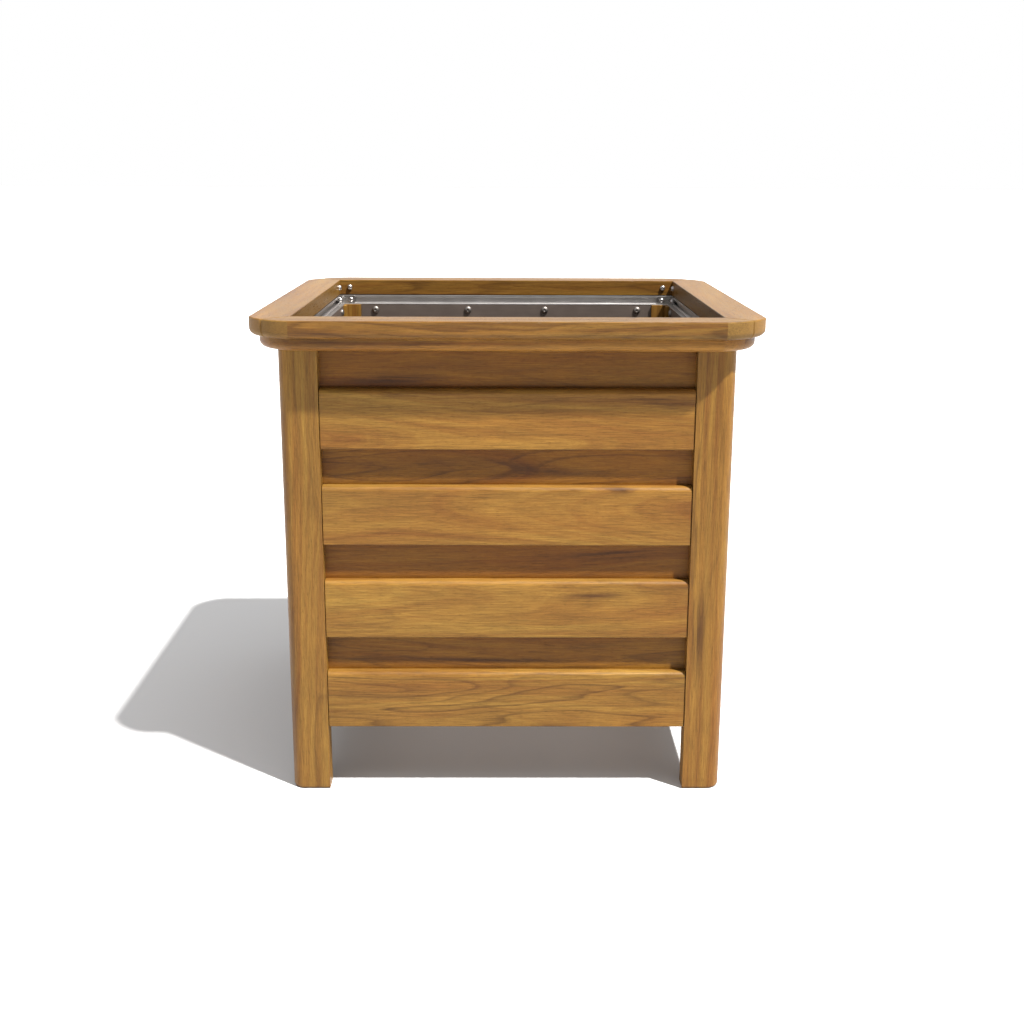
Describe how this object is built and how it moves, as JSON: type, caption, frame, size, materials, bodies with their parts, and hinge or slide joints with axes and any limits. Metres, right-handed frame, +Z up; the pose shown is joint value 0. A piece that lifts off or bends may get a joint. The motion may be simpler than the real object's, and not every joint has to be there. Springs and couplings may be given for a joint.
{
  "type": "square timber street planter",
  "caption": "Square hardwood planter box: corner posts, walls of proud and recessed boards, a rounded mitred rim and a bolted steel lining.",
  "frame": {"origin": "on the ground, under the centre of the planter", "axes": "+Z up; -Y towards the front; all four sides are alike"},
  "size_m": [0.9, 0.9, 0.88],
  "materials": {
    "post_wood": "oiled hardwood, satin, long dark figure",
    "board_wood": "oiled hardwood, satin, open grain",
    "infill_wood": "oiled hardwood, satin, darker boards",
    "cap_wood": "oiled hardwood, satin, sanded smooth",
    "moulding_wood": "oiled hardwood, satin",
    "frame_wood": "planed hardwood, unfinished",
    "channel_steel": "brushed stainless steel",
    "lining_steel": "dark grey coated steel, satin",
    "plate_steel": "brushed stainless steel, polished",
    "bright_fastener": "stainless steel, turned",
    "dull_fastener": "dull stainless steel"
  },
  "bodies": {
    "root": {"post_front_left": "post_wood", "post_front_right": "post_wood", "post_rear_right": "post_wood", "post_rear_left": "post_wood", "board_front_1": "board_wood", "board_front_2": "board_wood", "board_front_3": "board_wood", "board_front_4": "board_wood", "board_right_1": "board_wood", "board_right_2": "board_wood", "board_right_3": "board_wood", "board_right_4": "board_wood", "board_rear_1": "board_wood", "board_rear_2": "board_wood", "board_rear_3": "board_wood", "board_rear_4": "board_wood", "board_left_1": "board_wood", "board_left_2": "board_wood", "board_left_3": "board_wood", "board_left_4": "board_wood", "infill_front_1": "infill_wood", "infill_front_2": "infill_wood", "infill_front_3": "infill_wood", "infill_front_4": "infill_wood", "infill_right_1": "infill_wood", "infill_right_2": "infill_wood", "infill_right_3": "infill_wood", "infill_right_4": "infill_wood", "infill_rear_1": "infill_wood", "infill_rear_2": "infill_wood", "infill_rear_3": "infill_wood", "infill_rear_4": "infill_wood", "infill_left_1": "infill_wood", "infill_left_2": "infill_wood", "infill_left_3": "infill_wood", "infill_left_4": "infill_wood", "cap_front": "cap_wood", "cap_right": "cap_wood", "cap_rear": "cap_wood", "cap_left": "cap_wood", "moulding_front": "moulding_wood", "moulding_right": "moulding_wood", "moulding_rear": "moulding_wood", "moulding_left": "moulding_wood", "channel_front": "channel_steel", "channel_right": "channel_steel", "channel_rear": "channel_steel", "channel_left": "channel_steel", "lining_front": "lining_steel", "lining_right": "lining_steel", "lining_rear": "lining_steel", "lining_left": "lining_steel", "cap_splines": "frame_wood", "corner_plates": "plate_steel", "floor_cleats": "frame_wood", "floor_bearers": "frame_wood", "floor_plate": "lining_steel", "cap_screws": "bright_fastener", "corner_plate_bolts": "bright_fastener", "lining_bolts": "dull_fastener"}
  },
  "joints": []
}
